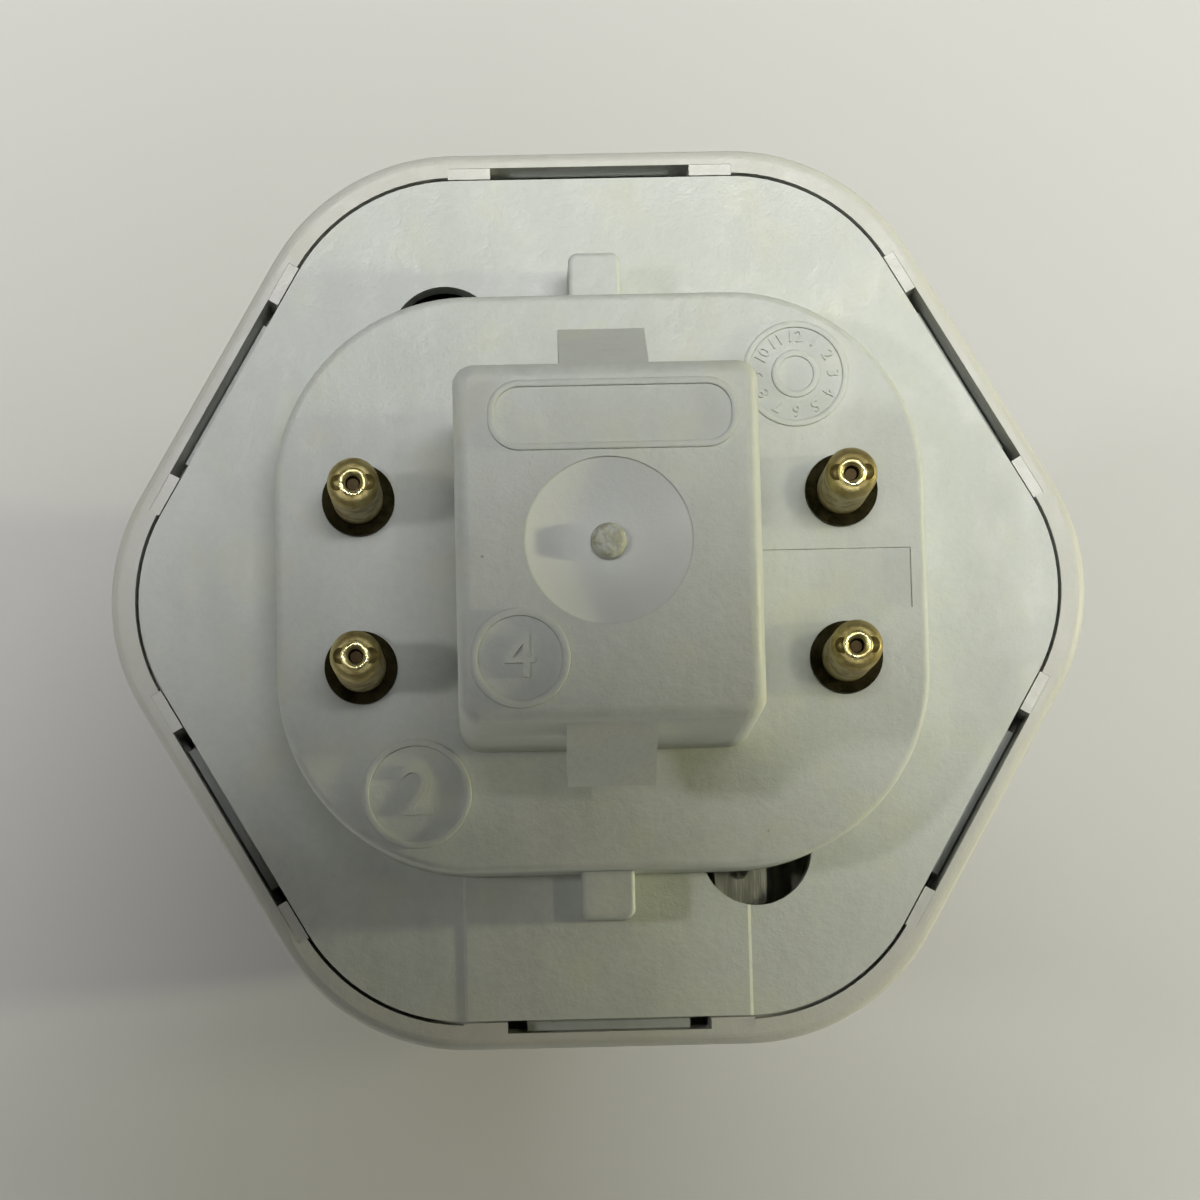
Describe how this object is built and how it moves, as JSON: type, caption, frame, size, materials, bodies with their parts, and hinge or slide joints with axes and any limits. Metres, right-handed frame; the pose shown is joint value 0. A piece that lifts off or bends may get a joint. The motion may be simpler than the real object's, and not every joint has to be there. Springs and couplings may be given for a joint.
{
  "type": "compact fluorescent pin lamp",
  "caption": "Plug-in compact fluorescent lamp with U-shaped glass tubes, a hexagonal moulded base, a keyed plug post with latch lugs and brass contact pins.",
  "frame": {"origin": "on the lamp's axis, at the plinth face that meets the lampholder", "axes": "+Z out of the cap along the contact pins, +X along their long spacing, +Y along their short one; the glass points to -Z"},
  "size_m": [0.048, 0.0442, 0.126],
  "materials": {
    "cap_plastic": "satin moulded",
    "collar_plastic": "satin moulded",
    "pin_brass": "bright",
    "coated_glass": "white coated",
    "lead_wire": "drawn",
    "cement": "matt"
  },
  "bodies": {
    "root": {"base_cap": "cap_plastic", "base_collar": "collar_plastic", "discharge_tube": "coated_glass", "tube_cement": "cement", "contact_pin_1": "pin_brass", "contact_pin_2": "pin_brass", "contact_pin_3": "pin_brass", "contact_pin_4": "pin_brass", "lead_wire_1": "lead_wire", "lead_wire_2": "lead_wire", "lead_wire_3": "lead_wire", "lead_wire_4": "lead_wire"}
  },
  "joints": []
}
